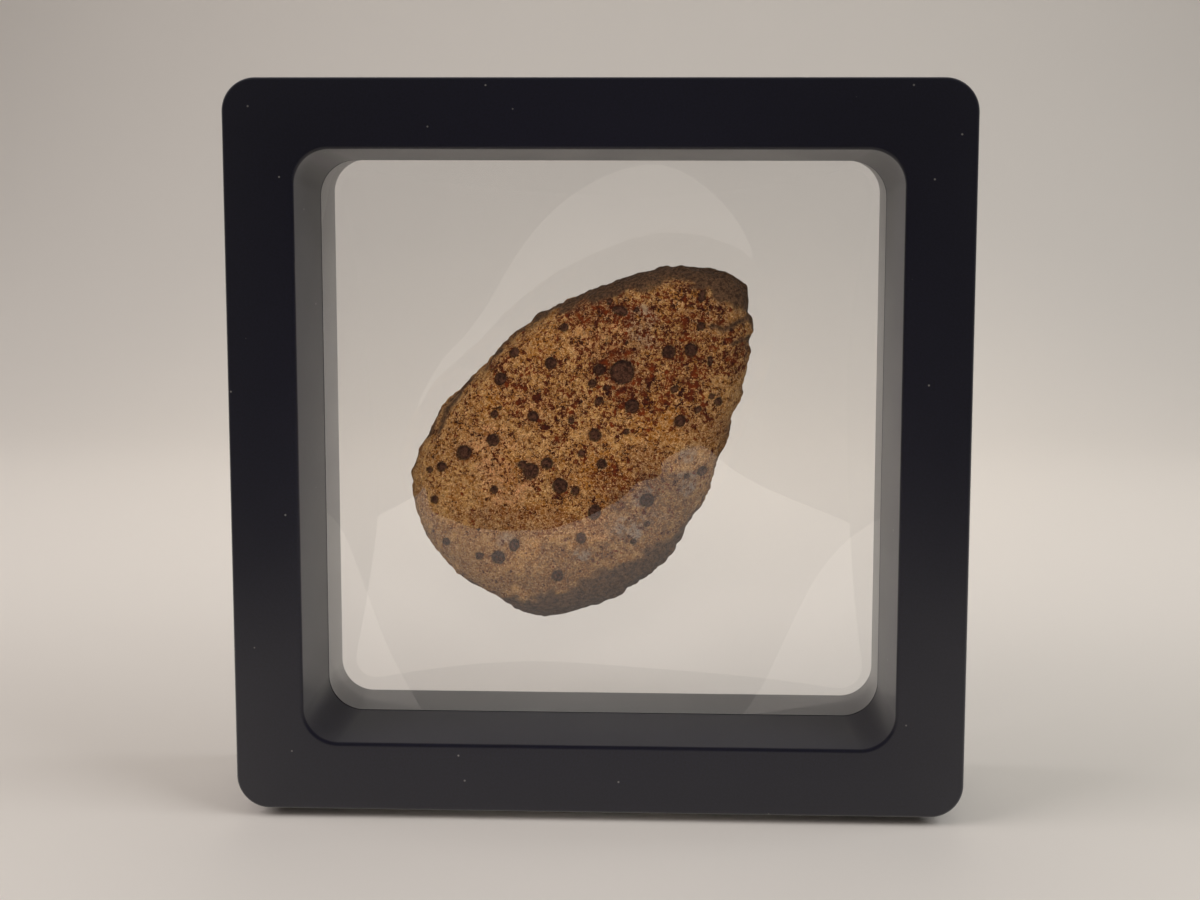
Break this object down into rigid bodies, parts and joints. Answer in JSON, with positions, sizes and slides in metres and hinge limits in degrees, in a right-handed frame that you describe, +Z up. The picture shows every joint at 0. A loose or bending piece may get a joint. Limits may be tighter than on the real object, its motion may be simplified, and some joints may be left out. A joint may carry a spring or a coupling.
{
  "type": "fossil ankylosaur osteoderm in a floating display frame",
  "caption": "Pitted fossil armour plate of an ankylosaur, held between two clear elastic films in a square black plastic frame that stands on its edge.",
  "frame": {"origin": "middle of the base, on the surface that the frame stands on, below the plane where the two halves meet", "axes": "+Z up; +X to the right as seen from the front; the front of the frame and of the specimen faces -Y"},
  "size_m": [0.11, 0.02, 0.11],
  "materials": {
    "black_plastic": "satin",
    "clear_film": "gloss",
    "fossil_bone": "matte"
  },
  "bodies": {
    "root": {"frame_front": "black_plastic", "frame_back": "black_plastic", "film_front": "clear_film", "film_back": "clear_film", "osteoderm": "fossil_bone"}
  },
  "joints": []
}
